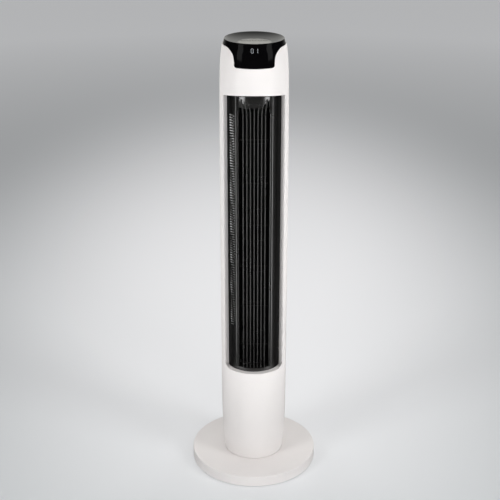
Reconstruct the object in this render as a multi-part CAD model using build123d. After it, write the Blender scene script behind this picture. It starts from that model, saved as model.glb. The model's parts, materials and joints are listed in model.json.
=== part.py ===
from build123d import *
import os
from math import asin, cos, degrees, radians, sin, sqrt

# Tower fan. Millimetres, +Z up, origin on the floor under the centre of the base, front facing -Y.

# ---------------------------------------------------------------- driving dimensions
HEIGHT = 1045.0            # floor to the rim of the control dish
BASE_R = 150.0             # round foot
BASE_TOP = 27.7            # top face of the foot
FOOT_H = 2.5               # rubber pads lift the base plate by this much
BASE_PLATE_T = 2.5
WALL = 2.5                 # wall of every moulded cover
PLATE_TOP = FOOT_H + BASE_PLATE_T
RIM_FILLET = 2.2           # rounding of the foot's upper edge
SEAT_OUT_R = 69.0          # annular seat of the glide ring, sunk in the foot's top
SEAT_IN_R = 57.0
SEAT_Z = 25.6
BASE_SCREW_RING = 119.0
PAD_RING = 138.5           # the rubber pads sit on this radius
PAD_R = 9.0
PAD_STEM_R = 3.5
BALLAST_OUT_R = 110.0
BALLAST_IN_R = 88.0
BALLAST_TOP = 19.0
INLET_Z = 14.0             # cord inlet in the rear of the foot
INLET_R = 7.0
INLET_BORE_R = 3.6

TOWER_FOOT_Z = 28.6        # lower edge of the column
TOWER_FOOT_R = 70.5
TOWER_LOW_Z = 150.0        # where the waist at the foot runs out
TOWER_LOW_R = 77.0
TOWER_MID_Z = 430.0        # fullest height of the barrel
TOWER_MID_R = 77.9
TOWER_HIGH_Z = 955.0       # where the head starts to draw in
TOWER_HIGH_R = 75.7
BARREL_LOW_SLOPE = 0.0064  # how fast the radius grows or falls at the barrel's two ends
BARREL_HIGH_SLOPE = -0.0099
SHELL_TOP_Z = 1033.4       # upper edge of the white shells
SHELL_TOP_R = 70.0
PARTING_Y = 14.0           # the front and rear shells meet on this plane

# outlet recess in the front shell
RECESS_X = 67.5            # half width at the outer surface
RECESS_Y = -36.0
INSERT_X = 59.5            # half width at the bottom of the recess
INSERT_Y = -27.85
RECESS_BOTTOM = 265.4
RECESS_TOP = 936.0         # top edge at the centre
RECESS_TOP_SIDE = 928.7    # top edge at the sides
RECESS_LOW_CORNER = 13.0
RECESS_HIGH_CORNER = 4.0
TRAY_WALL = 2.2
TRAY_BACK_R = 61.0
INSERT_R = 65.7            # the black insert is one cylinder
INSERT_WALL = 2.4
FIT_GAP = 0.25             # gap round an inserted moulding

# louvre in the middle of the insert
CHANNEL_X = 33.0           # half width
LIP_X = 42.0
LIP_BACK_Y = -43.0
LIP_FILLET = 5.0
CHANNEL_LOW_Z = 275.0
CHANNEL_HIGH_Z = 906.0     # top of the channel at the centre
CHANNEL_RISE = 17.0        # how much higher it ends at the sides
SHOULDER_LOW_Z = 896.0
SHOULDER_TOP_R = 56.5
SLAT_COUNT = 7
SLAT_PITCH = 8.15
SLAT_T = 2.6
SLAT_R = 63.6
SLAT_BACK_Y = -46.0
SLAT_BEND_Z = 884.0
SLAT_LEAN = 5.2            # the slat tops lean outward by this much
CROSS_RIB_Z = (330.0, 430.0, 530.0, 630.0, 730.0, 830.0)
CROSS_RIB_T = 2.4
SIDE_SLOT_AZ = (-57.8, -41.3)
SIDE_SLOT_LOW_Z = 378.0
SIDE_SLOT_HIGH_Z = 893.0
SIDE_SLOT_PITCH = 5.8
SIDE_SLOT_H = 3.8

# rear intake grille
REAR_X = 59.5
REAR_LOW_Z = 267.0
REAR_HIGH_Z = 933.0
REAR_FRAME = 2.6
REAR_CORNER = 8.0
REAR_BAR_R = 66.2          # the upright bars start on this radius
REAR_BAR_DEPTH = 6.4
REAR_RIB_PITCH = 6.5
REAR_RIB_T = 2.2
REAR_RIB_DEPTH = 8.0
REAR_BAR_X = (-38.0, -19.0, 0.0, 19.0, 38.0)
REAR_BAR_T = 2.4

# blower
BLOWER_Y = 4.0             # axis of the impeller and its motor
IMPELLER_R = 42.0
IMPELLER_INNER_R = 33.0
IMPELLER_LOW_Z = 276.0
IMPELLER_HIGH_Z = 896.0
SECTION_COUNT = 8
BLADE_COUNT = 36
BLADE_T = 1.0
BLADE_SWEEP = 14.0         # degrees from the blade's inner edge to its outer edge
DISC_T = 3.0
MOTOR_SHAFT_R = 4.0
TOP_SHAFT_R = 3.0
RUNNING_GAP = 0.05
DUCT_FLOOR_Z = 260.0
DUCT_FLOOR_T = 3.0
DUCT_CEILING_Z = 926.0
DUCT_PLATE_R = 60.5

# carry grip
GRIP_X = 42.0
GRIP_LOW_Z = 950.0
GRIP_HIGH_Z = 984.0
GRIP_HOOK_Z = 998.0
GRIP_DEEP_Y = 50.0
GRIP_HOOK_Y = 68.0
GRIP_CORNER = 10.0

# control head
DISH_R = 40.0
DISH_Z = 1035.0
RIM_OUT_R = 65.5
RIM_IN_R = 63.8
RIM_BEVEL = 0.8
HEAD_SIDE = ((71.9, 1019.0), (70.6, 1026.5), (68.3, 1033.6), (66.8, 1038.4), (66.0, 1042.0))
COLLAR_FOOT_R = 65.8       # inside of the collar where it stands on the shells
APRON_Z = 993.5
APRON_X = 43.2
APRON_CORNER = 5.5
APRON_WALL = 3.5
FLARE = ((43.3, 1004.0), (43.9, 1012.0), (46.4, 1021.0), (50.6, 1027.0), (55.2, 1031.4))
FLARE_TOP_X = 62.5         # the flare runs out on the shells' upper edge
BUTTON_NAMES = ("button_mode", "button_timer", "button_power", "button_speed", "button_swing")
BUTTON_PITCH = 12.0
BUTTON_Y = 17.0
BUTTON_R = 4.7
BUTTON_GAP = 0.3
BUTTON_PROUD = 0.5
DIGIT_LOW_Z = 1026.4
DIGIT_H = 9.6
DIGIT_W = 5.6
DIGIT_STROKE = 1.0
DIGIT_X = {"0": -4.6, "1": 7.0}
INLAY_DEPTH = 0.4
INLAY_PROUD = 0.08
BAR_GAP = 0.35             # between neighbouring bars of a digit

# oscillation drive
POST_R = 10.0
POST_BORE_R = 7.0
POST_TOP_Z = 46.0
CRANK_Y = 44.0             # crank shaft, from the column's axis
CRANK_THROW = 28.3
CRANK_Z = 17.5
CRANK_T = 4.0
ROLLER_R = 3.5
PIN_R = 2.0
SLOT_HALF = 5.6            # half width of the yoke's slot
SLOT_NEAR_Y = 34.0
SLOT_FAR_Y = 72.5
YOKE_X = 15.0
CLIP_Z = 43.4              # circlip groove in the post
CLIP_T = 1.2
TABLE_Z = 28.0             # underside of the turntable
TABLE_TOP = 31.5
DRIVE_SHAFT_R = 3.5
DRIVE_MOUNT_X = 25.0       # screw posts of the oscillation motor
DRIVE_MOUNT_Z = 37.0
YOKE_Z = 11.0
YOKE_T = 3.5

# power board behind the lower front of the column
BOARD_Y = -40.0
BOARD_T = 1.6
BOARD_HOLE_X = 33.0
BOARD_HOLE_Z = (86.0, 162.0)
BOARD_POST_REACH = (73.6, 75.8)            # how far out the board's posts reach at each height
HARNESS_XY = (64.5, -17.0)                 # the leads run up the side of the column here

# fasteners
SCREW_R = 1.5
SCREW_HEAD_R = 3.1
SCREW_HEAD_T = 1.9
SHELL_SCREW_X = 62.0
SHELL_SCREW_Z = (62.0, 243.0, 944.0)
SHELL_SCREW_REACH = (72.0, 75.4, 74.6)     # how far out the bosses reach at each height

BOTTOM = (Align.CENTER, Align.CENTER, Align.MIN)


# ---------------------------------------------------------------- small helpers
def rod(radius, z0, z1, x=0.0, y=0.0):
    """A vertical cylinder from z0 to z1."""
    return Pos(x, y, z0) * Cylinder(radius, z1 - z0, align=BOTTOM)


def ring(outer, inner, z0, z1, x=0.0, y=0.0):
    """A vertical tube from z0 to z1."""
    return rod(outer, z0, z1, x, y) - rod(inner, z0 - 1, z1 + 1, x, y)


def rod_y(radius, x, z, y0, y1):
    """A cylinder along Y from y0 to y1."""
    return Pos(x, y0, z) * Rot(-90, 0, 0) * Cylinder(radius, y1 - y0, align=BOTTOM)


def block(x0, x1, y0, y1, z0, z1):
    """A box between two corners."""
    box = Box(x1 - x0, y1 - y0, z1 - z0)
    return Pos((x0 + x1) / 2, (y0 + y1) / 2, (z0 + z1) / 2) * box


def turned(points):
    """Revolve a closed outline of (r, z) points about the Z axis."""
    outline = Polyline([(r, 0, z) for r, z in points], close=True)
    return revolve(make_face(outline), Axis.Z)


def upright(outline, y0, y1):
    """Extrude a face drawn in the XZ plane from y0 to y1."""
    return extrude(Pos(0, y0, 0) * outline, amount=y1 - y0, dir=(0, 1, 0))


def flat(points, z0, z1):
    """Extrude a closed outline of (x, y) points from z0 to z1."""
    outline = Polyline([(x, y, z0) for x, y in points], close=True)
    return extrude(make_face(outline), amount=z1 - z0, dir=(0, 0, 1))


def joined(first, others):
    """Fuse a list of shapes onto the first one in one operation."""
    solids = first.fuse(*others).solids()
    return solids[0] if len(solids) == 1 else Part(Compound(solids).wrapped)


def save(shape, node):
    """Write one sub-part as the solids it is made of."""
    solids = shape.solids()
    whole = solids[0] if len(solids) == 1 else Compound(solids)
    export_step(whole, f"parts/{node}.step")


def save_group(shapes, node):
    """Write identical pieces as separate solids of one node."""
    export_step(Compound([solid for shape in shapes for solid in shape.solids()]), f"parts/{node}.step")


def screw(x, y, z0, z1):
    """A pan-head screw pointing up: head below z0, tip at z1."""
    return rod(SCREW_HEAD_R, z0 - SCREW_HEAD_T, z0, x, y) + rod(SCREW_R, z0, z1, x, y)


def on_circle(radius, angles):
    """Points at a radius; angle 0 is the front, positive towards +X."""
    return [(radius * sin(radians(a)), -radius * cos(radians(a))) for a in angles]


# ---------------------------------------------------------------- the column's outer form
def column_side(inset=0.0):
    """The column's outline: a waist, a long barrel and a drawn-in head, all tangent."""
    low = (TOWER_LOW_R - inset, 0, TOWER_LOW_Z)
    mid = (TOWER_MID_R - inset, 0, TOWER_MID_Z)
    high = (TOWER_HIGH_R - inset, 0, TOWER_HIGH_Z)
    barrel = Spline([low, mid, high], tangents=[(BARREL_LOW_SLOPE, 0, 1), (BARREL_HIGH_SLOPE, 0, 1)])
    waist = TangentArc([low, (TOWER_FOOT_R - inset, 0, TOWER_FOOT_Z)],
                       tangent=(-BARREL_LOW_SLOPE, 0, -1))
    head = TangentArc([high, (SHELL_TOP_R - inset, 0, SHELL_TOP_Z)],
                      tangent=(BARREL_HIGH_SLOPE, 0, 1))
    return waist, barrel, head


def column_solid(inset=0.0, overrun=0.0):
    """The column as a solid; overrun carries both ends on as straight cylinders."""
    waist, barrel, head = column_side(inset)
    foot_r = TOWER_FOOT_R - inset
    top_r = SHELL_TOP_R - inset
    z0 = TOWER_FOOT_Z - overrun
    z1 = SHELL_TOP_Z + overrun
    edges = [waist, barrel, head]
    if overrun:
        edges.append(Line((foot_r, 0, z0), (foot_r, 0, TOWER_FOOT_Z)))
        edges.append(Line((top_r, 0, SHELL_TOP_Z), (top_r, 0, z1)))
    edges.append(Line((top_r, 0, z1), (0, 0, z1)))
    edges.append(Line((0, 0, z1), (0, 0, z0)))
    edges.append(Line((0, 0, z0), (foot_r, 0, z0)))
    return revolve(make_face(edges), Axis.Z)


def column_radius(z):
    """Outer radius of the barrel at height z, from its circle through three points."""
    rise_low = TOWER_MID_R - TOWER_LOW_R
    rise_high = TOWER_MID_R - TOWER_HIGH_R
    up = TOWER_HIGH_Z - TOWER_MID_Z
    down = TOWER_MID_Z - TOWER_LOW_Z
    bend = (rise_low / down + rise_high / up) / (up + down)
    slope = bend * up - rise_high / up
    return TOWER_MID_R + slope * (z - TOWER_MID_Z) - bend * (z - TOWER_MID_Z) ** 2


def recess_outline(grow):
    """Front view of the outlet opening: arched top, rounded lower corners."""
    x = RECESS_X + grow
    low = RECESS_BOTTOM - grow
    side = RECESS_TOP_SIDE + grow
    top = ThreePointArc((x, 0, side), (0, 0, RECESS_TOP + grow), (-x, 0, side))
    rest = Polyline((-x, 0, side), (-x, 0, low), (x, 0, low), (x, 0, side))
    face = make_face([top, rest])
    corners = face.vertices()
    lower = [v for v in corners if abs(v.Z - low) < 0.01]
    face = fillet(lower, RECESS_LOW_CORNER + grow)
    upper = [v for v in face.vertices() if abs(v.Z - side) < 0.01 and abs(abs(v.X) - x) < 0.01]
    return fillet(upper, RECESS_HIGH_CORNER + grow)


def recess_solid(grow=0.0):
    """Everything in front of the air duct that the outlet opening removes from the front shell."""
    run = (RECESS_X - INSERT_X, RECESS_Y - INSERT_Y)
    length = sqrt(run[0] ** 2 + run[1] ** 2)
    shift = (-run[1] / length * grow, run[0] / length * grow)
    reach = 30.0
    back = (INSERT_X + shift[0] - run[0] * 0.4, INSERT_Y + shift[1] - run[1] * 0.4)
    wide = (INSERT_X + shift[0] + run[0] / length * reach, INSERT_Y + shift[1] + run[1] / length * reach)
    plan = [back, wide, (wide[0], -100), (-wide[0], -100), (-wide[0], wide[1]), (-back[0], back[1])]
    prism = flat(plan, RECESS_BOTTOM - 20, RECESS_TOP + 20)
    return prism & upright(recess_outline(grow), -110, 0)


# ---------------------------------------------------------------- base
def make_base():
    seat_under = SEAT_Z - WALL
    cover = turned([
        (BASE_R, FOOT_H), (BASE_R, BASE_TOP), (SEAT_OUT_R, BASE_TOP), (SEAT_OUT_R, SEAT_Z),
        (SEAT_IN_R, SEAT_Z), (SEAT_IN_R, seat_under), (SEAT_OUT_R + WALL, seat_under),
        (SEAT_OUT_R + WALL, BASE_TOP - WALL), (BASE_R - WALL, BASE_TOP - WALL), (BASE_R - WALL, FOOT_H),
    ])
    rim = [e for e in cover.edges().filter_by(GeomType.CIRCLE)
           if abs(e.radius - BASE_R) < 0.01 and e.center().Z > BASE_TOP - 0.1]
    cover = fillet(rim, RIM_FILLET)
    screw_spots = on_circle(BASE_SCREW_RING, [22.5 + 60 * i for i in range(6)])
    boss_r = 5.0
    bosses = [rod(boss_r, PLATE_TOP, BASE_TOP - 1.0, x, y) for x, y in screw_spots]
    cover = joined(cover, bosses)
    for x, y in screw_spots:
        cover -= rod(SCREW_R, FOOT_H, BALLAST_TOP, x, y)
    cover -= rod_y(INLET_R, 0, INLET_Z, BASE_R - 8, BASE_R + 5)
    save(cover, "base_cover")

    plate = rod(BASE_R - WALL - 0.3, FOOT_H, PLATE_TOP)
    pad_spots = on_circle(PAD_RING, [45, 135, 225, 315])
    for x, y in pad_spots:
        plate -= rod(PAD_STEM_R, 0, 10, x, y)
    for x, y in screw_spots:
        plate -= rod(SCREW_R + 0.1, 0, 10, x, y)
    save(plate, "base_plate")

    button_r = PAD_STEM_R + 1.1
    pad = rod(PAD_R, 0, FOOT_H) + rod(PAD_STEM_R, FOOT_H, PLATE_TOP + 0.4)
    pad += rod(button_r, PLATE_TOP, PLATE_TOP + 1.6)
    pad = chamfer(pad.faces().sort_by(Axis.Z)[0].edges(), 0.5)
    save_group([Pos(x, y, 0) * pad for x, y in pad_spots], "base_feet")

    save_group([screw(x, y, FOOT_H, BALLAST_TOP - 1.0) for x, y in screw_spots], "base_screws")

    ballast = ring(BALLAST_OUT_R, BALLAST_IN_R, PLATE_TOP, BALLAST_TOP)
    cord_way = block(-8, 8, BALLAST_IN_R - 8, BALLAST_OUT_R + 10, PLATE_TOP - 1, BALLAST_TOP + 5)
    save(ballast - cord_way, "ballast_ring")

    gland = rod_y(INLET_R, 0, INLET_Z, BASE_R - 9.5, BASE_R - 0.2)
    gland += rod_y(INLET_R + 2, 0, INLET_Z, BASE_R - 6.5, BASE_R - WALL - 0.35)
    gland -= rod_y(INLET_BORE_R, 0, INLET_Z, BASE_R - 12, BASE_R + 2)
    save(gland, "cord_inlet")


def make_pivot():
    flange_r = 22.0
    flange_top = PLATE_TOP + 3
    groove_r = POST_R - 1.2
    post = rod(flange_r, PLATE_TOP, flange_top) + rod(POST_R, PLATE_TOP, POST_TOP_Z)
    post -= rod(POST_BORE_R, PLATE_TOP - 1, POST_TOP_Z + 1)
    post -= ring(POST_R + 5, groove_r, CLIP_Z, CLIP_Z + CLIP_T)
    post -= block(-6, 6, 0, 30, PLATE_TOP - 1, PLATE_TOP + 8)
    shank_r = 1.8
    post_screws = on_circle(16.5, [0, 90, 270])
    for x, y in post_screws:
        post -= rod(shank_r, 0, 12, x, y)
    save(post, "pivot_post")
    heads = [rod(3.0, flange_top, flange_top + 2, x, y) + rod(shank_r, PLATE_TOP, flange_top, x, y)
             for x, y in post_screws]
    save_group(heads, "post_screws")
    save(ring(16.0, POST_R + RUNNING_GAP, CLIP_Z - CLIP_T, CLIP_Z), "pivot_washer")
    clip = ring(13.5, groove_r, CLIP_Z, CLIP_Z + CLIP_T)
    clip -= flat([(0, 0), (12, 22), (-12, 22)], CLIP_Z - 1, CLIP_Z + 2)
    save(clip, "pivot_circlip")
    save(ring(SEAT_OUT_R - 0.5, SEAT_IN_R + 0.6, SEAT_Z, TABLE_Z - 0.1), "glide_ring")

    yoke_top = YOKE_Z + YOKE_T
    yoke = block(-YOKE_X, YOKE_X, 11.2, 84, YOKE_Z, yoke_top)
    slot = block(-SLOT_HALF, SLOT_HALF, SLOT_NEAR_Y, SLOT_FAR_Y, YOKE_Z - 1, yoke_top + 1)
    for y in (SLOT_NEAR_Y, SLOT_FAR_Y):
        slot += rod(SLOT_HALF, YOKE_Z - 1, yoke_top + 1, 0, y)
    yoke -= slot
    yoke -= rod(POST_R + 0.4, YOKE_Z - 1, yoke_top + 1)
    leg_x = YOKE_X - 4
    for x, y in [(-leg_x, 30), (leg_x, 30), (-leg_x, 79), (leg_x, 79)]:
        yoke += rod(3.5, PLATE_TOP, YOKE_Z, x, y)
    save(yoke, "slotted_yoke")


def make_crank():
    arm_top = CRANK_Z + CRANK_T
    pin_y = CRANK_Y + CRANK_THROW
    save(rod(DRIVE_SHAFT_R, arm_top, DRIVE_MOUNT_Z - 0.3, 0, CRANK_Y), "crank_shaft")
    half = 5.0
    arm = block(-half, half, CRANK_Y, pin_y, CRANK_Z, arm_top)
    arm += rod(half, CRANK_Z, arm_top, 0, pin_y)
    arm += rod(6.5, CRANK_Z, TABLE_Z - 1, 0, CRANK_Y)
    arm -= rod(DRIVE_SHAFT_R, arm_top, TABLE_Z, 0, CRANK_Y)
    arm -= rod(PIN_R, CRANK_Z - 1, arm_top + 1, 0, pin_y)
    save(arm, "crank_arm")
    save(rod(PIN_R, YOKE_Z - 0.8, arm_top, 0, pin_y), "crank_pin")
    save(ring(ROLLER_R, PIN_R, YOKE_Z + 0.2, CRANK_Z - 0.4, 0, pin_y), "crank_roller")


# ---------------------------------------------------------------- column, lower part
def make_turntable():
    sleeve_r = 15.0
    table = rod(TOWER_FOOT_R - WALL - 0.4, TABLE_Z, TABLE_TOP)
    table += rod(sleeve_r, SEAT_Z - 2.8, CLIP_Z - CLIP_T - 0.1)
    table -= rod(POST_R + RUNNING_GAP, 20, 50)
    table -= rod(8.0, 20, 40, 0, CRANK_Y)
    motor_posts = [(-DRIVE_MOUNT_X, CRANK_Y), (DRIVE_MOUNT_X, CRANK_Y)]
    for x, y in motor_posts:
        table += rod(4.0, TABLE_TOP, DRIVE_MOUNT_Z, x, y)
        table -= rod(1.4, TABLE_TOP + 0.1, DRIVE_MOUNT_Z + 1, x, y)
    save(table, "turntable")

    ear_top = DRIVE_MOUNT_Z + 1.2
    can = rod(21.0, DRIVE_MOUNT_Z, DRIVE_MOUNT_Z + 20, 0, CRANK_Y)
    can += rod(8.0, TABLE_TOP + 2, DRIVE_MOUNT_Z, 0, CRANK_Y)
    can += block(-DRIVE_MOUNT_X - 4, DRIVE_MOUNT_X + 4, CRANK_Y - 5, CRANK_Y + 5, DRIVE_MOUNT_Z, ear_top)
    can -= rod(DRIVE_SHAFT_R + RUNNING_GAP, 30, DRIVE_MOUNT_Z - 0.1, 0, CRANK_Y)
    for x, y in motor_posts:
        can -= rod(1.6, DRIVE_MOUNT_Z - 1, ear_top + 2, x, y)
    save(can, "oscillation_motor")
    fasteners = [rod(2.7, ear_top, ear_top + 1.8, x, y) + rod(1.4, TABLE_TOP + 1, ear_top, x, y)
                 for x, y in motor_posts]
    save_group(fasteners, "oscillation_motor_screws")


def make_electronics():
    face = BOARD_Y + BOARD_T
    board = block(-38, 38, BOARD_Y, face, 80, 168)
    for x in (-BOARD_HOLE_X, BOARD_HOLE_X):
        for z in BOARD_HOLE_Z:
            board -= rod_y(1.6, x, z, BOARD_Y - 1, face + 2)
    save(board, "power_board")
    parts = [
        block(-30, -4, face, face + 20, 95, 119),
        block(2, 20, face, face + 15, 96, 112),
        block(2, 20, face, face + 15, 116, 132),
        block(-28, -14, face, face + 9, 140, 156),
        block(-6, 26, face, face + 10, 142, 150),
        rod_y(5.0, 28, 105, face, face + 16),
        rod_y(4.0, 28, 122, face, face + 14),
    ]
    save_group(parts, "power_board_components")
    capacitor = block(-24, 24, 0, 20, 110, 142)
    capacitor = fillet(capacitor.edges().filter_by(Axis.Z), 3)
    save(Pos(0, 22, 0) * capacitor, "run_capacitor")
    x, y = HARNESS_XY
    route = [(24, -24, 146), (50, -20, 160), (x, y, 200), (x, y, 985), (46, -8, 1013)]
    path = FilletPolyline(*route, radius=14)
    start = Plane(origin=path @ 0, z_dir=path % 0)
    save(sweep(start * Circle(2.2), path=path), "wiring_harness")


# ---------------------------------------------------------------- shells
def shell_bosses(y0, y1, radius):
    """Screw bosses joined to the side walls, for both shells."""
    made = []
    for z, reach in zip(SHELL_SCREW_Z, SHELL_SCREW_REACH):
        inside = rod(reach, z - 10, z + 10)
        for side in (-1, 1):
            wall_x = sorted((side * SHELL_SCREW_X, side * reach))
            boss = rod_y(radius, side * SHELL_SCREW_X, z, y0, y1)
            boss += block(wall_x[0], wall_x[1], y0, y1, z - 1.2, z + 1.2)
            made.append(boss & inside)
    return made


def apron_outline():
    """Front view of the black display apron, which flares out to the collar of the head."""
    flare = FLARE + ((FLARE_TOP_X, SHELL_TOP_Z),)
    right = Spline([(x, 0, z) for x, z in flare], tangents=[(0.02, 0, 1), (1, 0, 0.1)])
    left = Spline([(-x, 0, z) for x, z in flare], tangents=[(-0.02, 0, 1), (-1, 0, 0.1)])
    top = Polyline((FLARE_TOP_X, 0, SHELL_TOP_Z), (FLARE_TOP_X, 0, HEIGHT),
                   (-FLARE_TOP_X, 0, HEIGHT), (-FLARE_TOP_X, 0, SHELL_TOP_Z))
    side_x, side_z = FLARE[0]
    foot = Polyline((-side_x, 0, side_z), (-APRON_X, 0, APRON_Z), (APRON_X, 0, APRON_Z),
                    (side_x, 0, side_z))
    face = make_face([right, left, top, foot])
    corners = [v for v in face.vertices() if abs(v.Z - APRON_Z) < 0.01]
    return fillet(corners, APRON_CORNER)


def make_shells():
    skin = column_solid() - column_solid(WALL, overrun=10)
    front_half = block(-100, 100, -100, PARTING_Y, 0, HEIGHT + 10)
    rear_half = block(-100, 100, PARTING_Y, 100, 0, HEIGHT + 10)
    apron = upright(apron_outline(), -90, 0)

    front = skin & front_half
    tray = (recess_solid(TRAY_WALL) & column_solid(1.0)) - rod(TRAY_BACK_R, 200, 1000)
    front = front + tray
    front = front - recess_solid()
    front = front - apron
    front = joined(front, shell_bosses(-8, PARTING_Y, 4.5))
    board_posts = [rod_y(3.2, x, z, -71, BOARD_Y) & rod(reach, 70, 180)
                   for x in (-BOARD_HOLE_X, BOARD_HOLE_X)
                   for z, reach in zip(BOARD_HOLE_Z, BOARD_POST_REACH)]
    front = joined(front, board_posts)
    for z in SHELL_SCREW_Z:
        for side in (-1, 1):
            front -= rod_y(SCREW_R, side * SHELL_SCREW_X, z, -4, PARTING_Y + 1)
    save(front, "front_shell")

    rear = skin & rear_half
    window = RectangleRounded(2 * REAR_X, REAR_HIGH_Z - REAR_LOW_Z, REAR_CORNER)
    window = Pos(0, 0, (REAR_HIGH_Z + REAR_LOW_Z) / 2) * Rot(90, 0, 0) * window
    rear = rear - upright(window, PARTING_Y, 110)
    wall = TRAY_WALL
    pocket_wall = block(-GRIP_X - wall, GRIP_X + wall, GRIP_DEEP_Y - wall, 90,
                        GRIP_LOW_Z - wall, GRIP_HOOK_Z + wall)
    rear = rear + (pocket_wall & column_solid(1.0))
    hollow = block(-GRIP_X, GRIP_X, GRIP_DEEP_Y, 100, GRIP_LOW_Z, GRIP_HIGH_Z)
    hollow = fillet(hollow.edges().filter_by(Axis.Y), GRIP_CORNER)
    hook_x = GRIP_X - 6
    hook = block(-hook_x, hook_x, GRIP_DEEP_Y, GRIP_HOOK_Y, GRIP_HIGH_Z - 12, GRIP_HOOK_Z)
    rear = rear - hollow - hook
    rear = joined(rear, shell_bosses(PARTING_Y, 60, 4.9))
    for z in SHELL_SCREW_Z:
        for side in (-1, 1):
            x = side * SHELL_SCREW_X
            rear -= rod_y(SCREW_HEAD_R + 0.5, x, z, PARTING_Y + 6, 90)
            rear -= rod_y(SCREW_R + 0.1, x, z, PARTING_Y - 1, PARTING_Y + 8)
    save(rear, "rear_shell")

    screws = []
    head_y = PARTING_Y + 6
    for z in SHELL_SCREW_Z:
        for side in (-1, 1):
            x = side * SHELL_SCREW_X
            shank = rod_y(SCREW_R, x, z, 0, head_y)
            screws.append(shank + rod_y(SCREW_HEAD_R, x, z, head_y, head_y + SCREW_HEAD_T))
    save_group(screws, "shell_screws")


# ---------------------------------------------------------------- grilles
def slat(number):
    """One vertical slat: rounded front, straight run, top leaning away from the middle."""
    x = number * SLAT_PITCH
    front_y = -sqrt(SLAT_R ** 2 - x ** 2)
    half = SLAT_T / 2
    depth = SLAT_BACK_Y - front_y
    blade = Pos(0, front_y + half + (depth - half) / 2) * Rectangle(SLAT_T, depth - half)
    section = blade + Pos(0, front_y + half) * Circle(half)
    low_z = CHANNEL_LOW_Z - 6
    if number == 0:
        return extrude(Pos(0, 0, low_z) * section, amount=CHANNEL_HIGH_Z + 8 - low_z)
    lean = (1 if number > 0 else -1) * (SLAT_LEAN - 1.6 / abs(number))
    high_z = CHANNEL_HIGH_Z + CHANNEL_RISE * (abs(x) / CHANNEL_X) ** 2 + 8
    run = extrude(Pos(x, 0, low_z) * section, amount=SLAT_BEND_Z - low_z)
    bend = TangentArc([(x, 0, SLAT_BEND_Z), (x + lean, 0, high_z)], tangent=(0, 0, 1))
    tip = sweep(Pos(x, 0, SLAT_BEND_Z) * section, path=bend)
    return run + tip


def channel_outline():
    """Front view of the louvre opening: its top edge dips in the middle."""
    top_side = CHANNEL_HIGH_Z + CHANNEL_RISE
    dip = ThreePointArc((CHANNEL_X, 0, top_side), (0, 0, CHANNEL_HIGH_Z), (-CHANNEL_X, 0, top_side))
    rest = Polyline((-CHANNEL_X, 0, top_side), (-CHANNEL_X, 0, CHANNEL_LOW_Z),
                    (CHANNEL_X, 0, CHANNEL_LOW_Z), (CHANNEL_X, 0, top_side))
    return make_face([dip, rest])


def shoulder():
    """The rounded shoulder above the slats, which leans back towards the top."""
    side = TangentArc([(INSERT_R - 0.6, 0, SHOULDER_LOW_Z), (SHOULDER_TOP_R, 0, RECESS_TOP + 2)],
                      tangent=(0, 0, 1))
    inner = 48.0
    rest = Polyline((SHOULDER_TOP_R, 0, RECESS_TOP + 2), (inner, 0, RECESS_TOP + 2),
                    (inner, 0, SHOULDER_LOW_Z), (INSERT_R - 0.6, 0, SHOULDER_LOW_Z))
    body = revolve(make_face([side, rest]), Axis.Z)
    return body & block(-CHANNEL_X - 0.5, CHANNEL_X + 0.5, -80, LIP_BACK_Y, 880, 950)


def lip(side, z0, z1):
    """A rounded bar along one edge of the louvre."""
    low_x, high_x = sorted((side * CHANNEL_X, side * LIP_X))
    area = Pos((low_x + high_x) / 2, -60) * Rectangle(high_x - low_x, 2 * (60 + LIP_BACK_Y))
    area = area & Circle(INSERT_R)
    corner_y = -sqrt(INSERT_R ** 2 - CHANNEL_X ** 2)
    corner = [v for v in area.vertices()
              if abs(v.X - side * CHANNEL_X) < 0.01 and abs(v.Y - corner_y) < 0.1]
    area = fillet(corner, LIP_FILLET)
    return extrude(Pos(0, 0, z0) * area, amount=z1 - z0)


def make_outlet_grille():
    seat = recess_solid(-FIT_GAP)
    panel = rod(INSERT_R, 200, 1000) - rod(INSERT_R - INSERT_WALL, 199, 1001)
    panel = panel & seat
    panel -= block(-LIP_X + 1, LIP_X - 1, -80, 0, CHANNEL_LOW_Z, 1000)
    bars = [lip(side, 200, 1000) & seat for side in (-1, 1)]
    top = shoulder() & seat
    sill = (rod(INSERT_R, 200, CHANNEL_LOW_Z) - rod(48.0, 199, 400)) & seat
    sill = sill & block(-CHANNEL_X - 1, CHANNEL_X + 1, -80, 0, 200, 400)
    frame = joined(panel, bars + [sill])
    frame = frame + top
    frame = frame - upright(channel_outline(), -90, -30)
    slats = [slat(k) for k in range(-(SLAT_COUNT // 2), SLAT_COUNT // 2 + 1)]
    ribs = [block(-CHANNEL_X - 1, CHANNEL_X + 1, SLAT_BACK_Y - 3, SLAT_BACK_Y, z, z + CROSS_RIB_T)
            for z in CROSS_RIB_Z]
    frame = joined(frame, slats + ribs)
    count = int((SIDE_SLOT_HIGH_Z - SIDE_SLOT_LOW_Z) / SIDE_SLOT_PITCH)
    near = on_circle(60.0, SIDE_SLOT_AZ)
    far = on_circle(70.0, SIDE_SLOT_AZ)
    plan = [near[0], far[0], far[1], near[1]]
    slots = [flat(plan, SIDE_SLOT_LOW_Z + i * SIDE_SLOT_PITCH,
                  SIDE_SLOT_LOW_Z + i * SIDE_SLOT_PITCH + SIDE_SLOT_H) for i in range(count)]
    frame = frame.cut(*slots)
    save(frame, "outlet_grille")


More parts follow.
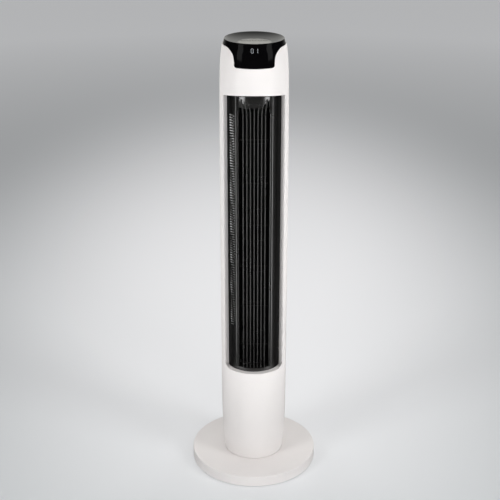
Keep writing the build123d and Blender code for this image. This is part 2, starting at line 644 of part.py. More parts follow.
def make_rear_grille():
    half_az = degrees(asin((REAR_X - REAR_FRAME + 1.0) / TOWER_MID_R))
    ribs = []
    z = REAR_LOW_Z + REAR_FRAME + 2.0
    while z < REAR_HIGH_Z - REAR_FRAME - REAR_RIB_T:
        outer = column_radius(z) - 0.6
        wedge = on_circle(100.0, (180 - half_az, 180, 180 + half_az))
        area = (Circle(outer) - Circle(outer - REAR_RIB_DEPTH)) & make_face(
            Polyline([(0, 0)] + wedge, close=True))
        ribs.append(extrude(Pos(0, 0, z) * area, amount=REAR_RIB_T))
        z += REAR_RIB_PITCH
    layer = column_solid(0.5) - rod(TOWER_MID_R - REAR_RIB_DEPTH, 200, 1000)
    height = REAR_HIGH_Z - REAR_LOW_Z
    gap = FIT_GAP
    outside = RectangleRounded(2 * (REAR_X - gap), height - 2 * gap, REAR_CORNER - gap)
    inside = Rectangle(2 * (REAR_X - REAR_FRAME), height - 2 * REAR_FRAME)
    frame = Pos(0, 0, (REAR_HIGH_Z + REAR_LOW_Z) / 2) * Rot(90, 0, 0) * (outside - inside)
    frame = layer & upright(frame, 10, 110)
    bars = []
    for x in REAR_BAR_X:
        back_y = sqrt(REAR_BAR_R ** 2 - x ** 2)
        bars.append(block(x - REAR_BAR_T / 2, x + REAR_BAR_T / 2, back_y, back_y + REAR_BAR_DEPTH,
                          REAR_LOW_Z + 1.0, REAR_HIGH_Z - 1.0))
    grille = joined(frame, ribs + bars)
    save(grille, "rear_grille")


# ---------------------------------------------------------------- blower
def make_duct():
    notch = rod(5.0, 200, 1000, *HARNESS_XY)
    floor = rod(DUCT_PLATE_R, DUCT_FLOOR_Z, DUCT_FLOOR_Z + DUCT_FLOOR_T) - notch
    floor -= rod(11.0, 250, 270, 0, BLOWER_Y)
    for x, y in motor_post_spots():
        floor += rod(4.0, 246.0, DUCT_FLOOR_Z, x, y)
        floor -= rod(SCREW_R, 240, 258, x, y)
    save(floor, "duct_floor")

    top_z = DUCT_CEILING_Z + 3
    ceiling = rod(DUCT_PLATE_R, DUCT_CEILING_Z, top_z) - notch
    ceiling = ceiling & block(-64, 64, LIP_BACK_Y + 0.4, 64, 900, top_z + 5)
    ceiling += rod(13.0, 899.5, DUCT_CEILING_Z, 0, BLOWER_Y)
    ceiling -= rod(10.0, 901.5, top_z + 1, 0, BLOWER_Y)
    ceiling -= rod(5.0, 890, top_z, 0, BLOWER_Y)
    save(ceiling, "duct_ceiling")

    low_z = DUCT_FLOOR_Z + DUCT_FLOOR_T
    outer = ThreePointArc((17.0, 51.5), (55.0, 12.0), (41.5, LIP_BACK_Y + 1.0))
    inner = ThreePointArc((17.0, 49.3), (52.8, 12.0), (39.3, LIP_BACK_Y + 1.0))
    ends = [Line((17.0, 51.5), (17.0, 49.3)), Line((39.3, LIP_BACK_Y + 1.0), (41.5, LIP_BACK_Y + 1.0))]
    scroll = extrude(Pos(0, 0, low_z) * make_face([outer, inner] + ends), amount=DUCT_CEILING_Z - low_z)
    save(scroll, "scroll_wall")

    tongue = flat([(-35.0, LIP_BACK_Y), (-38.5, LIP_BACK_Y), (-41.5, -24.0), (-38.6, -24.0)],
                  low_z, DUCT_CEILING_Z)
    tongue += rod(1.6, low_z, DUCT_CEILING_Z, -40.0, -23.6)
    save(tongue, "vortex_tongue")


def motor_post_spots():
    """Four screw posts round the blower motor."""
    return [(sx * 33.0, BLOWER_Y + sy * 33.0) for sx in (-1, 1) for sy in (-1, 1)]


def make_motor():
    y = BLOWER_Y
    stack = ring(39.0, 22.35, 203.0, 225.0, 0, y)
    save(stack, "motor_stator")
    coils = [ring(36.0, 24.0, 193.0, 203.0, 0, y), ring(36.0, 24.0, 225.0, 235.0, 0, y)]
    coils = [fillet(c.edges(), 2.5) for c in coils]
    save_group(coils, "motor_windings")
    lower = rod(41.0, 189.0, 214.0, 0, y) - rod(39.0, 191.0, 220.0, 0, y)
    lower += rod(11.0, 183.0, 191.0, 0, y)
    lower -= rod(8.0, 184.5, 195.0, 0, y)
    lower -= rod(5.0, 180.0, 195.0, 0, y)
    upper = rod(41.0, 214.0, 240.0, 0, y) - rod(39.0, 210.0, 238.0, 0, y)
    upper += ring(41.0, 30.0, 238.0, 246.0, 0, y)
    for x, py in motor_post_spots():
        half = 3.5 if x * (py - y) > 0 else -3.5
        inner_x, inner_y = x * 0.8, y + (py - y) * 0.8
        upper += rod(5.5, 243.0, 246.0, x, py)
        upper += flat([(inner_x - 3.5, inner_y + half), (x - 3.5, py + half),
                       (x + 3.5, py - half), (inner_x + 3.5, inner_y - half)], 243.0, 246.0)
    upper += rod(11.0, 238.0, 247.0, 0, y)
    upper -= rod(8.0, 236.0, 245.5, 0, y)
    upper -= rod(5.0, 230.0, 250.0, 0, y)
    for x, py in motor_post_spots():
        upper -= rod(SCREW_R + 0.1, 230, 250, x, py)
        upper -= rod(SCREW_HEAD_R + 0.3, 230, 243.0, x, py)
    save(upper, "motor_cap_upper")
    save(lower, "motor_cap_lower")
    bearings = [ring(8.0, MOTOR_SHAFT_R + RUNNING_GAP, 184.5, 191.0, 0, y),
                ring(8.0, MOTOR_SHAFT_R + RUNNING_GAP, 238.5, 245.5, 0, y)]
    save_group(bearings, "motor_bearings")
    save_group([screw(x, py, 243.0, 256.0) for x, py in motor_post_spots()], "motor_screws")

    save(ring(22.0, MOTOR_SHAFT_R, 201.5, 226.5, 0, y), "motor_rotor")
    save(rod(MOTOR_SHAFT_R, 181.5, 283.0, 0, y), "motor_shaft")


def impeller_section(z0, z1):
    """One moulded wheel section: a ring carrying forward-curved blades."""
    disc = ring(IMPELLER_R, IMPELLER_INNER_R - 3, z0, z0 + 1.4)
    middle_r = (IMPELLER_R + IMPELLER_INNER_R) / 2
    inner_r = IMPELLER_INNER_R + 0.6
    outer_r = IMPELLER_R - 0.3

    def camber(shift):
        start = on_circle(inner_r, [shift])[0]
        middle = on_circle(middle_r, [shift + BLADE_SWEEP * 0.30])[0]
        end = on_circle(outer_r, [shift + BLADE_SWEEP])[0]
        return ThreePointArc(start, middle, end)

    step = degrees(BLADE_T / middle_r)
    front = camber(0.0)
    back = camber(step)
    face = make_face([front, back, Line(front @ 0, back @ 0), Line(front @ 1, back @ 1)])
    blade = extrude(Pos(0, 0, z0 + 0.7) * face, amount=z1 - z0 - 0.7)
    blades = [Rot(0, 0, i * 360 / BLADE_COUNT) * blade for i in range(BLADE_COUNT)]
    return joined(disc, blades)


def make_impeller():
    y = BLOWER_Y
    low = IMPELLER_LOW_Z + DISC_T
    high = IMPELLER_HIGH_Z - DISC_T
    pitch = (high - low) / SECTION_COUNT
    section = impeller_section(low, low + pitch)
    save_group([Pos(0, y, i * pitch) * section for i in range(SECTION_COUNT)], "impeller_sections")
    save(ring(IMPELLER_R, 9.0, IMPELLER_LOW_Z, low, 0, y), "impeller_base_disc")
    top = rod(IMPELLER_R, high, IMPELLER_HIGH_Z, 0, y) + rod(7.0, high - 8, high, 0, y)
    top -= rod(TOP_SHAFT_R, high - 6, IMPELLER_HIGH_Z + 1, 0, y)
    save(top, "impeller_top_disc")
    save(rod(TOP_SHAFT_R, high - 6, 911.0, 0, y), "impeller_top_shaft")
    save(ring(9.0, 6.0, 272.5, 282.5, 0, y), "hub_damper")
    save(ring(6.0, MOTOR_SHAFT_R, 270.5, 283.0, 0, y), "hub_insert")
    save(ring(10.0, 7.0, 901.5, 910.0, 0, y), "bearing_rubber")
    save(ring(7.0, TOP_SHAFT_R + RUNNING_GAP, 902.0, 909.5, 0, y), "top_bearing")


# ---------------------------------------------------------------- control head
def head_envelope(grow=0.0):
    """Solid inside the head's outer face, which draws in from the column up to the rim."""
    bevel_z = HEIGHT - RIM_BEVEL
    line = HEAD_SIDE + ((RIM_OUT_R, bevel_z),)
    side = Spline([(r + grow, 0, z) for r, z in line], tangents=[(-0.14, 0, 1), (-0.22, 0, 1)])
    low_r, low_z = HEAD_SIDE[0]
    clear_r = low_r + 20
    clear_z = APRON_Z - 20
    rest = Polyline((RIM_OUT_R + grow, 0, bevel_z), (RIM_OUT_R - 0.6 + grow, 0, HEIGHT), (0, 0, HEIGHT),
                    (0, 0, clear_z), (clear_r, 0, clear_z), (clear_r, 0, low_z), (low_r + grow, 0, low_z))
    return revolve(make_face([side, rest]), Axis.Z)


def seven_segment(digit):
    """Front view of one lit digit, drawn with bars."""
    x = DIGIT_X[digit]
    s = DIGIT_STROKE
    mid = DIGIT_LOW_Z + DIGIT_H / 2
    top = DIGIT_LOW_Z + DIGIT_H
    left = x - DIGIT_W / 2
    right = x + DIGIT_W / 2 - s
    uprights = {"0": [left, right], "1": [x - s / 2]}[digit]
    bars = []
    for bar_x in uprights:
        bars.append((bar_x, bar_x + s, DIGIT_LOW_Z + BAR_GAP + s * 0.5, mid - BAR_GAP))
        bars.append((bar_x, bar_x + s, mid + BAR_GAP, top - BAR_GAP - s * 0.5))
    if digit == "0":
        bars.append((left + s + BAR_GAP, right - BAR_GAP, DIGIT_LOW_Z, DIGIT_LOW_Z + s))
        bars.append((left + s + BAR_GAP, right - BAR_GAP, top - s, top))
    return bars


def display_inlays():
    """The lit bars, as thin inlays that follow the housing's face."""
    outer = head_envelope(INLAY_PROUD) & column_solid(-INLAY_PROUD, overrun=20)
    inner = head_envelope(-INLAY_DEPTH) & column_solid(INLAY_DEPTH, overrun=20)
    bars = seven_segment("0") + seven_segment("1")
    prisms = [block(x0, x1, -80, -50, z0, z1) for x0, x1, z0, z1 in bars]
    return [(prism & outer) - inner for prism in prisms]


def make_head():
    bowl = ThreePointArc((RIM_IN_R, 0, HEIGHT), (52.5, 0, 1038.7), (DISH_R, 0, DISH_Z))
    clear_r = SHELL_TOP_R + 5
    under_z = DISH_Z - WALL
    rest = Polyline((DISH_R, 0, DISH_Z), (0, 0, DISH_Z), (0, 0, under_z), (DISH_R + 0.6, 0, under_z),
                    (53.0, 0, 1036.2), (62.4, 0, 1041.6), (64.0, 0, 1037.8),
                    (COLLAR_FOOT_R, 0, SHELL_TOP_Z), (clear_r, 0, SHELL_TOP_Z), (clear_r, 0, HEIGHT),
                    (RIM_IN_R, 0, HEIGHT))
    head = revolve(make_face([bowl, rest]), Axis.Z)
    apron = column_solid() & upright(apron_outline(), -90, 0)
    apron = apron - column_solid(APRON_WALL, overrun=10)
    head = (head & head_envelope()) + (apron & head_envelope())

    spots = [((i - 2) * BUTTON_PITCH, BUTTON_Y) for i in range(len(BUTTON_NAMES))]
    for x, y in spots:
        head -= rod(BUTTON_R + BUTTON_GAP, 1020, 1050, x, y)

    inlays = display_inlays()
    head = head.cut(*inlays)
    save(head, "control_housing")
    save_group(inlays, "display_segments")

    save(block(-26, 26, -58.0, -56.4, 1002, 1031.5), "display_board")
    module = block(-14, 14, -64.5, -58.0, 1014, 1032.5)
    save(fillet(module.edges().filter_by(Axis.Y), 1.0), "display_module")

    board = rod(43.0, 1023.0, 1024.6)
    board = board - block(-60, 60, -60, -40, 1000, 1040)
    save(board, "control_board")
    switches = [block(x - 3, x + 3, y - 3, y + 3, 1024.6, 1028.0) + rod(1.7, 1028.0, 1028.9, x, y)
                for x, y in spots]
    save_group(switches, "tact_switches")

    for name, (x, y) in zip(BUTTON_NAMES, spots):
        cap = rod(BUTTON_R, 1030.0, DISH_Z + BUTTON_PROUD, x, y)
        cap = fillet(cap.faces().sort_by(Axis.Z)[-1].edges(), 0.4)
        flange = rod(BUTTON_R + 0.9, 1031.0, 1032.2, x, y)
        save(cap + flange + rod(1.5, 1029.75, 1030.5, x, y), name)


# ---------------------------------------------------------------- build
os.makedirs("parts", exist_ok=True)
make_base()
make_pivot()
make_crank()
make_turntable()
make_electronics()
make_shells()
make_outlet_grille()
make_rear_grille()
make_duct()
make_motor()
make_impeller()
make_head()
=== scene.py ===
import json
from math import cos, pi, radians, sin

import bmesh
import bpy
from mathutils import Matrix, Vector


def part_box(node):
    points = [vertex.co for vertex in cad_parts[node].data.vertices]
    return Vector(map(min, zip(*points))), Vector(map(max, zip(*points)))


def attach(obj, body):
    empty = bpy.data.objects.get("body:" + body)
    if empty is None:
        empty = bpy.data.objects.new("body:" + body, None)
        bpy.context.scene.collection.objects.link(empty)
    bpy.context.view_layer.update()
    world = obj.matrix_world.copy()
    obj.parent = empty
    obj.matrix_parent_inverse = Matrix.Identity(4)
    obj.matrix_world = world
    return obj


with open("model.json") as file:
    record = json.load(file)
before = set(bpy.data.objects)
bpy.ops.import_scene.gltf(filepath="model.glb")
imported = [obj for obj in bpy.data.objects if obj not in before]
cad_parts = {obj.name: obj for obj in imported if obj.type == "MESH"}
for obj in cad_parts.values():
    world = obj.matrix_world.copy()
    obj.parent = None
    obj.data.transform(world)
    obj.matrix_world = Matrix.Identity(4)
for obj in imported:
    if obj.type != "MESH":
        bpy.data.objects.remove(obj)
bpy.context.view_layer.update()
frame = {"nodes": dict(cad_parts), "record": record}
NODES = frame["nodes"]


def add_object(name, data):
    """A new object in the scene."""
    made = bpy.data.objects.new(name, data)
    bpy.context.scene.collection.objects.link(made)
    return made


# ---------------------------------------------------------------- node helpers

NOISE_LOW, NOISE_HIGH = 0.3, 0.7


def shader(name):
    """A new material with its node tree, and the Principled shader in it."""
    material = bpy.data.materials.new(name)
    material.use_nodes = True
    tree = material.node_tree
    return material, tree, tree.nodes["Principled BSDF"]


def noise(tree, scale, detail, stretch=(1, 1, 1)):
    """Noise in the object's own coordinates, in metres, stretched per axis."""
    where = tree.nodes.new("ShaderNodeTexCoord")
    mapping = tree.nodes.new("ShaderNodeMapping")
    mapping.inputs["Scale"].default_value = stretch
    texture = tree.nodes.new("ShaderNodeTexNoise")
    texture.inputs["Scale"].default_value = scale
    texture.inputs["Detail"].default_value = detail
    texture.inputs["Roughness"].default_value = 0.55
    tree.links.new(where.outputs["Object"], mapping.inputs["Vector"])
    tree.links.new(mapping.outputs["Vector"], texture.inputs["Vector"])
    return texture.outputs["Fac"]


def remap(tree, value, low, high, out_low=0.0, out_high=1.0):
    """Runs straight from out_low to out_high as the value goes from low to high."""
    node = tree.nodes.new("ShaderNodeMapRange")
    node.inputs["From Min"].default_value = low
    node.inputs["From Max"].default_value = high
    node.inputs["To Min"].default_value = out_low
    node.inputs["To Max"].default_value = out_high
    tree.links.new(value, node.inputs["Value"])
    return node.outputs["Result"]


def spread(tree, value, low, high):
    """Maps noise, which mostly stays between NOISE_LOW and NOISE_HIGH, to the range low to high."""
    return remap(tree, value, NOISE_LOW, NOISE_HIGH, low, high)


def colour_ramp(tree, value, first, second, low=0.0, high=1.0):
    """A colour that runs from first to second as the value goes from low to high."""
    ramp = tree.nodes.new("ShaderNodeValToRGB")
    for element, place, colour in zip(ramp.color_ramp.elements, (low, high), (first, second)):
        element.position = place
        element.color = (*colour, 1)
    tree.links.new(value, ramp.inputs["Fac"])
    return ramp.outputs["Color"]


def feed(tree, socket, value):
    """Links a node's output to the socket, or sets a plain value on it."""
    if isinstance(value, bpy.types.NodeSocket):
        tree.links.new(value, socket)
    else:
        socket.default_value = value


def mixed(tree, factor, first, second):
    """A number going from the first to the second as the factor goes from 0 to 1."""
    mix = tree.nodes.new("ShaderNodeMix")
    feed(tree, mix.inputs["Factor"], factor)
    feed(tree, mix.inputs["A"], first)
    feed(tree, mix.inputs["B"], second)
    return mix.outputs["Result"]


def mixed_colour(tree, factor, first, second):
    """A colour going from the first to the second as the factor goes from 0 to 1."""
    mix = tree.nodes.new("ShaderNodeMix")
    mix.data_type = "RGBA"
    feed(tree, mix.inputs["Factor"], factor)
    sockets = [socket for socket in mix.inputs if socket.type == "RGBA"]
    feed(tree, sockets[0], first)
    feed(tree, sockets[1], second)
    return [socket for socket in mix.outputs if socket.type == "RGBA"][0]


def axes(tree, output):
    """The three parts of an object-space direction or place."""
    where = tree.nodes.new("ShaderNodeTexCoord")
    split = tree.nodes.new("ShaderNodeSeparateXYZ")
    tree.links.new(where.outputs[output], split.inputs["Vector"])
    return split.outputs


def maths(tree, operation, *values):
    """One step of arithmetic on sockets or plain numbers."""
    node = tree.nodes.new("ShaderNodeMath")
    node.operation = operation
    for socket, value in zip(node.inputs, values):
        feed(tree, socket, value)
    return node.outputs["Value"]


def axis_distance(tree):
    """How far a point is from the upright axis of the tower, in metres."""
    place = axes(tree, "Object")
    square = maths(tree, "ADD", maths(tree, "MULTIPLY", place["X"], place["X"]),
                   maths(tree, "MULTIPLY", place["Y"], place["Y"]))
    return maths(tree, "SQRT", square)


# ---------------------------------------------------------------- materials

BROAD_SCALE = 22
BROAD_DETAIL = 4.0
FINE_DETAIL = 2.0
GRAIN_DEPTH = 0.0001


def scaled(colour, factor):
    """The colour made lighter or darker, no lighter than white."""
    return tuple(min(1.0, c * factor) for c in colour)


def moulded(name, colour, roughness, vary=0.04, mottle=0.03, grain=1800, relief=0.10,
            metallic=0.0, stretch=(1, 1, 1)):
    """Moulded or cast stuff: a fine grain, broad changes of gloss and a slight mottle."""
    material, tree, bsdf = shader(name)
    broad = noise(tree, BROAD_SCALE, BROAD_DETAIL, stretch)
    dark, light = scaled(colour, 1 - mottle), scaled(colour, 1 + mottle)
    shade = colour_ramp(tree, broad, dark, light, NOISE_LOW, NOISE_HIGH)
    tree.links.new(shade, bsdf.inputs["Base Color"])
    gloss = spread(tree, broad, roughness - vary, roughness + vary)
    tree.links.new(gloss, bsdf.inputs["Roughness"])
    bump = tree.nodes.new("ShaderNodeBump")
    bump.inputs["Strength"].default_value = relief
    bump.inputs["Distance"].default_value = GRAIN_DEPTH
    tree.links.new(noise(tree, grain, FINE_DETAIL, stretch), bump.inputs["Height"])
    tree.links.new(bump.outputs["Normal"], bsdf.inputs["Normal"])
    bsdf.inputs["Metallic"].default_value = metallic
    return material


def finish_of(material):
    """The node tree, the shader, and what feeds the shader's colour and roughness."""
    tree = material.node_tree
    bsdf = tree.nodes["Principled BSDF"]
    plain = bsdf.inputs["Base Color"].links[0].from_socket
    gloss = bsdf.inputs["Roughness"].links[0].from_socket
    return tree, bsdf, plain, gloss


UPWARD = (0.55, 0.75)
SATIN_SCALE = 60
SATIN_DETAIL = 3.0
SATIN_ROUGHNESS = (0.30, 0.36)
SHINE_UPRIGHT, SHINE_DISH = 0.03, 0.5
FROST_R = 0.033
FROST_EDGE = 0.006
FROST_COLOUR = (0.33, 0.32, 0.295, 1)


def head_black():
    """The head's moulding: polished upright faces, a satin dish with a paler frosted disc in it."""
    material = moulded("gloss_black", (0.0022, 0.002, 0.0024), 0.06, vary=0.02, mottle=0.1,
                       grain=300, relief=0.01)
    tree, bsdf, plain, polish = finish_of(material)
    upward = remap(tree, axes(tree, "Normal")["Z"], *UPWARD)
    inside = remap(tree, axis_distance(tree), FROST_R + FROST_EDGE, FROST_R)
    frosted = mixed_colour(tree, maths(tree, "MULTIPLY", upward, inside), plain, FROST_COLOUR)
    satin = spread(tree, noise(tree, SATIN_SCALE, SATIN_DETAIL), *SATIN_ROUGHNESS)
    shine = mixed(tree, upward, SHINE_UPRIGHT, SHINE_DISH)
    tree.links.new(frosted, bsdf.inputs["Base Color"])
    tree.links.new(mixed(tree, upward, polish, satin), bsdf.inputs["Roughness"])
    tree.links.new(shine, bsdf.inputs["Specular IOR Level"])
    return material


SHADED_MARGIN_X = (0.040, 0.050)
# Painted shade: a darker colour for the insert's outer margins, standing in for the shadowed gap
# beside the white lips.
MARGIN_SHADE_COLOUR = (0.003, 0.003, 0.003, 1)
SHOULDER_LEAN = (0.12, 0.35)
SHOULDER_ROUGHNESS = 0.15
SHINE_FACE, SHINE_MARGIN, SHINE_SHOULDER = 0.95, 0.06, 1.0


def grille_black():
    """The front insert: satin slats and lips, low-shine outer margins darkened with painted shade,
    and a polished shoulder on top.
    """
    material = moulded("grille_black", (0.012, 0.0115, 0.011), 0.30, mottle=0.15, relief=0.12)
    tree, bsdf, plain, satin = finish_of(material)
    shaded_margin = remap(tree, maths(tree, "ABSOLUTE", axes(tree, "Object")["X"]), *SHADED_MARGIN_X)
    leaning = remap(tree, axes(tree, "Normal")["Z"], *SHOULDER_LEAN)
    roughness = mixed(tree, leaning, satin, SHOULDER_ROUGHNESS)
    upright_shine = mixed(tree, shaded_margin, SHINE_FACE, SHINE_MARGIN)
    shine = mixed(tree, leaning, upright_shine, SHINE_SHOULDER)
    # Painted shade: the outer margins take the darker colour, standing in for the shadowed gap
    # beside the white lips.
    tree.links.new(mixed_colour(tree, shaded_margin, plain, MARGIN_SHADE_COLOUR), bsdf.inputs["Base Color"])
    tree.links.new(roughness, bsdf.inputs["Roughness"])
    tree.links.new(shine, bsdf.inputs["Specular IOR Level"])
    return material


LIT_GRAIN = 900
LIT_SHADE = 0.9
LIT_RANGE = (0.8, 1.1)
LIT_ROUGHNESS = 0.4


def lit(name, colour, strength):
    """A lit display bar: a diffusing face, brighter in patches."""
    material, tree, bsdf = shader(name)
    patches = noise(tree, LIT_GRAIN, FINE_DETAIL)
    shade = colour_ramp(tree, patches, scaled(colour, LIT_SHADE), colour, NOISE_LOW, NOISE_HIGH)
    glow = spread(tree, patches, *(strength * part for part in LIT_RANGE))
    tree.links.new(shade, bsdf.inputs["Base Color"])
    tree.links.new(glow, bsdf.inputs["Emission Strength"])
    bsdf.inputs["Emission Color"].default_value = (*colour, 1)
    bsdf.inputs["Roughness"].default_value = LIT_ROUGHNESS
    return material


MOULDED = {
    "white_abs": dict(colour=(0.89, 0.855, 0.84), roughness=0.36, vary=0.05, mottle=0.008),
    "black_abs": dict(colour=(0.014, 0.0135, 0.013), roughness=0.34, mottle=0.15, relief=0.12),
    "dark_abs": dict(colour=(0.02, 0.02, 0.021), roughness=0.5, mottle=0.12),
    "impeller_black": dict(colour=(0.006, 0.006, 0.006), roughness=0.45, mottle=0.15),
    "rubber_black": dict(colour=(0.025, 0.025, 0.025), roughness=0.75, mottle=0.15, relief=0.3),
    "pom_white": dict(colour=(0.78, 0.78, 0.74), roughness=0.42, mottle=0.02),
    "steel": dict(colour=(0.55, 0.55, 0.56), roughness=0.34, metallic=1.0, grain=900, relief=0.12),
    "lamination": dict(colour=(0.32, 0.32, 0.34), roughness=0.45, metallic=1.0, mottle=0.1,
                       stretch=(1, 1, 60), grain=60),
    "copper": dict(colour=(0.62, 0.27, 0.12), roughness=0.34, metallic=1.0, mottle=0.12,
                   relief=0.3),
    "bronze": dict(colour=(0.55, 0.38, 0.2), roughness=0.5, metallic=1.0, mottle=0.12),
    "ballast_iron": dict(colour=(0.05, 0.05, 0.052), roughness=0.62, mottle=0.2, grain=500,
                         relief=0.4),
    "motor_metal": dict(colour=(0.62, 0.62, 0.63), roughness=0.4, metallic=1.0, mottle=0.05),
    "pcb_green": dict(colour=(0.02, 0.14, 0.05), roughness=0.36, mottle=0.1, grain=700),
    "component_black": dict(colour=(0.03, 0.03, 0.033), roughness=0.5, mottle=0.12),
    "capacitor_white": dict(colour=(0.74, 0.74, 0.7), roughness=0.45),
    "cable_grey": dict(colour=(0.22, 0.22, 0.23), roughness=0.55, mottle=0.06),
}
MATERIALS = {name: moulded(name, **finish) for name, finish in MOULDED.items()}
MATERIALS["gloss_black"] = head_black()
MATERIALS["display_light"] = lit("display_light", (0.30, 0.32, 0.34), 0.40)
OWN_MATERIAL = {"outlet_grille": grille_black()}
PRINT_WHITE = moulded("print_white", (0.8, 0.8, 0.78), 0.5, relief=0.2)

for subpart in frame["record"]["subparts"]:
    node_name = subpart["node"]
    finish = OWN_MATERIAL.get(node_name, MATERIALS[subpart["material_slot"]])
    node_materials = NODES[node_name].data.materials
    node_materials.clear()
    node_materials.append(finish)

# ---------------------------------------------------------------- printed symbols on the buttons

MM = 0.001
SYMBOL_R = 2.5 * MM
STROKE = 0.5 * MM
INK = 0.05 * MM
ARC_STEP = radians(9)
WAVE_REACH, WAVE_RISE, WAVE_STEPS = 0.95, 0.14, 24
BLADE_REACH, BLADE_BEND, BLADE_STEPS = 0.95, 0.55, 18


def arc(cx, cy, radius, start, end):
    """Points along an arc, angles in degrees, in units of the symbol's radius."""
    count = max(2, int(abs(radians(end - start)) / ARC_STEP) + 1)
    angles = [radians(start + (end - start) * i / count) for i in range(count + 1)]
    return [(cx + radius * cos(a), cy + radius * sin(a)) for a in angles]


def wave(y):
    """One gust line: a long shallow S."""
    parts = [i / WAVE_STEPS for i in range(WAVE_STEPS + 1)]
    return [(WAVE_REACH * (2 * t - 1), y + WAVE_RISE * sin(2 * pi * t)) for t in parts]


def blade(angle):
    """One blade of the fan symbol, a bent loop from the middle outwards."""
    turn = radians(angle)
    bends = [pi * i / BLADE_STEPS for i in range(BLADE_STEPS + 1)]
    return [(BLADE_REACH * sin(t) * cos(BLADE_BEND * t + turn),
             BLADE_REACH * sin(t) * sin(BLADE_BEND * t + turn)) for t in bends]


SYMBOLS = {
    "button_mode": [wave(0.5), wave(0.0), wave(-0.5)],
    "button_timer": [arc(0, 0, 0.9, 0, 360), [(0, 0.55), (0, 0), (0.4, -0.25)]],
    "button_power": [arc(0, -0.05, 0.85, 125, 415), [(0, 0.95), (0, 0.15)]],
    "button_speed": [blade(0), blade(120), blade(240)],
    "button_swing": [arc(0, -0.9, 1.25, 135, 45), [(-0.55, 0.35), (-0.9, -0.02), (-0.4, -0.12)],
                     [(0.55, 0.35), (0.9, -0.02), (0.4, -0.12)]],
}


def ribbon(mesh, points, width, z_low, z_high):
    """A flat stroke with a rectangular section along a line of points."""
    sides = []
    last = len(points) - 1
    for i, point in enumerate(points):
        along = points[min(i + 1, last)] - points[max(i - 1, 0)]
        across = Vector((-along.y, along.x)).normalized() * width / 2
        corners = [point + across, point - across]
        sides.append([mesh.verts.new((*c, z)) for z in (z_low, z_high) for c in corners])
    for a, b in zip(sides, sides[1:]):
        for i, j in ((0, 1), (1, 3), (3, 2), (2, 0)):
            mesh.faces.new((a[i], a[j], b[j], b[i]))
    for end in (sides[0], sides[-1]):
        mesh.faces.new((end[0], end[1], end[3], end[2]))


def piece(name, mesh, material, body):
    """Turns a bmesh into a piece that rides on a body."""
    bmesh.ops.recalc_face_normals(mesh, faces=mesh.faces)
    data = bpy.data.meshes.new(name)
    mesh.to_mesh(data)
    mesh.free()
    data.materials.append(material)
    made = add_object(name, data)
    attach(made, body)


for button, strokes in SYMBOLS.items():
    low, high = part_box(button)
    centre = Vector(((low.x + high.x) / 2, (low.y + high.y) / 2))
    symbol = bmesh.new()
    for stroke in strokes:
        line = [centre + Vector(p) * SYMBOL_R for p in stroke]
        ribbon(symbol, line, STROKE, high.z - INK, high.z + INK)
    piece("symbol_" + button.split("_")[1], symbol, PRINT_WHITE, button)

# ---------------------------------------------------------------- floor

FLOOR_SIZE = 9.0
FLOOR_CELLS = 8
FLOOR_DARK, FLOOR_LIGHT = (0.54, 0.57, 0.58), (0.76, 0.76, 0.765)
FLOOR_ROUGHNESS = 0.9
FLOOR_SHINE = 0.1
GLOW_CENTRE = (0.0, 1.2, 0)
GLOW_REACH = (1.5, 2.8, 1)
GLOW_COLOUR = (0.98, 0.98, 1, 1)
GLOW_STRENGTH = 0.38
LIFT_REACH = (0.7, 5.0)
LIFT_STRENGTH = (0.03, 0.36)


def glow_mask(tree):
    """1 in the middle of the bright pool on the floor behind the object, 0 outside it."""
    where = tree.nodes.new("ShaderNodeTexCoord")
    mapping = tree.nodes.new("ShaderNodeMapping")
    mapping.vector_type = "TEXTURE"
    mapping.inputs["Location"].default_value = GLOW_CENTRE
    mapping.inputs["Scale"].default_value = GLOW_REACH
    pool = tree.nodes.new("ShaderNodeTexGradient")
    pool.gradient_type = "SPHERICAL"
    tree.links.new(where.outputs["Object"], mapping.inputs["Vector"])
    tree.links.new(mapping.outputs["Vector"], pool.inputs["Vector"])
    soft = tree.nodes.new("ShaderNodeMapRange")
    soft.interpolation_type = "SMOOTHERSTEP"
    tree.links.new(pool.outputs["Fac"], soft.inputs["Value"])
    return soft.outputs["Result"]


def make_floor():
    """A pale paper floor, lit from within where the lights don't reach, as a backdrop is."""
    mesh = bmesh.new()
    bmesh.ops.create_grid(mesh, x_segments=FLOOR_CELLS, y_segments=FLOOR_CELLS, size=FLOOR_SIZE)
    data = bpy.data.meshes.new("floor")
    mesh.to_mesh(data)
    mesh.free()
    floor = add_object("floor", data)
    material, tree, bsdf = shader("floor_paper")
    mask = glow_mask(tree)
    lift = remap(tree, axis_distance(tree), *LIFT_REACH, *LIFT_STRENGTH)
    glow = maths(tree, "MULTIPLY_ADD", mask, GLOW_STRENGTH, lift)
    tree.links.new(colour_ramp(tree, mask, FLOOR_DARK, FLOOR_LIGHT), bsdf.inputs["Base Color"])
    tree.links.new(glow, bsdf.inputs["Emission Strength"])
    bsdf.inputs["Emission Color"].default_value = GLOW_COLOUR
    bsdf.inputs["Roughness"].default_value = FLOOR_ROUGHNESS
    bsdf.inputs["Specular IOR Level"].default_value = FLOOR_SHINE
    data.materials.append(material)
    floor.visible_glossy = False


# ---------------------------------------------------------------- world, lights and camera

SKY_DIRECTION = (0, 0.87, 0.5)
SKY_RANGE = (0.45, 0.95)
SKY_DARK, SKY_BRIGHT = (0.015, 0.015, 0.015), (1.25, 1.25, 1.2)
WORLD_FILL = (0.14, 0.14, 0.14, 1)
WORLD_SEEN = (0.41, 0.415, 0.425, 1)


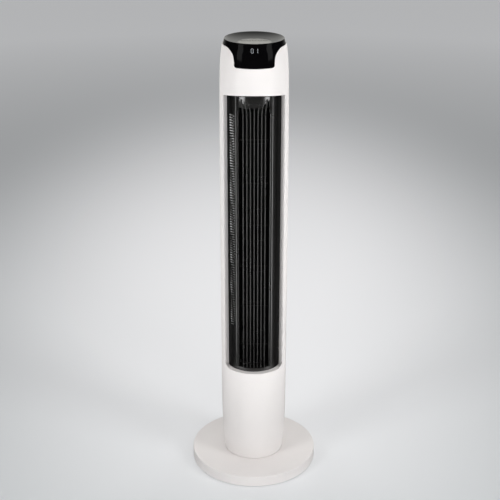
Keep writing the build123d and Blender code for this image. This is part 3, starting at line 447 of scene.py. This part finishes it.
def make_world():
    """Mirrored, it's bright above and behind. It fills evenly, and looks an even pale grey."""
    world = bpy.data.worlds.new("studio")
    bpy.context.scene.world = world
    world.use_nodes = True
    tree = world.node_tree
    where = tree.nodes.new("ShaderNodeTexCoord")
    towards = tree.nodes.new("ShaderNodeVectorMath")
    towards.operation = "DOT_PRODUCT"
    towards.inputs[1].default_value = SKY_DIRECTION
    tree.links.new(where.outputs["Generated"], towards.inputs[0])
    sky = colour_ramp(tree, towards.outputs["Value"], SKY_DARK, SKY_BRIGHT, *SKY_RANGE)
    path = tree.nodes.new("ShaderNodeLightPath")
    unseen = mixed_colour(tree, path.outputs["Is Glossy Ray"], WORLD_FILL, sky)
    shown = mixed_colour(tree, path.outputs["Is Camera Ray"], unseen, WORLD_SEEN)
    tree.links.new(shown, tree.nodes["Background"].inputs["Color"])


def softbox(name, azimuth, distance, height, aim, size, power, mirrored=True, beam=180):
    """A rectangular light aimed at the axis. Azimuth 0 is in front and positive ones towards +X.

    One that isn't mirrored only fills. The beam is its full angle in degrees."""
    light = bpy.data.lights.new(name, "AREA")
    light.shape = "RECTANGLE"
    light.size, light.size_y = size
    light.energy = power
    light.spread = radians(beam)
    lamp = add_object(name, light)
    turn = radians(azimuth)
    lamp.location = (distance * sin(turn), -distance * cos(turn), height)
    aimed = Vector((0, 0, aim)) - lamp.location
    lamp.rotation_euler = aimed.to_track_quat("-Z", "Y").to_euler()
    lamp.visible_glossy = mirrored
    lamp.visible_camera = False


make_floor()
make_world()
softbox("key_left", -51, 2.0, 1.5, 0.75, (0.70, 1.3), 16)
softbox("key_right", 56, 2.0, 1.5, 0.75, (0.70, 1.3), 17.5)
softbox("strip_left", -50, 0.75, 0.38, 0.63, (0.24, 0.72), 0.24, beam=46)
softbox("strip_right", 57, 0.75, 0.38, 0.63, (0.24, 0.72), 0.24, beam=46)
softbox("fill_front", 12, 3.6, 1.5, 0.2, (2.6, 2.2), 40, mirrored=False)
softbox("fill_top", 180, 0.3, 3.2, 0.0, (3.0, 3.0), 13, mirrored=False)
softbox("fill_back_left", -140, 3.0, 1.0, 0.8, (1.6, 1.3), 4, mirrored=False, beam=56)
softbox("fill_back_right", 140, 3.0, 1.0, 0.8, (1.6, 1.3), 4, mirrored=False, beam=56)

CAMERA_PLACE = (-0.00917, -2.4236, 1.566)
CAMERA_TILT = 67.25
CAMERA_LENS = 81.63
CAMERA_SENSOR = 36

camera = add_object("camera", bpy.data.cameras.new("camera"))
camera.data.lens = CAMERA_LENS
camera.data.sensor_width = CAMERA_SENSOR
camera.location = CAMERA_PLACE
camera.rotation_euler = (radians(CAMERA_TILT), 0, 0)
bpy.context.scene.camera = camera
bpy.context.scene.view_settings.view_transform = "Standard"
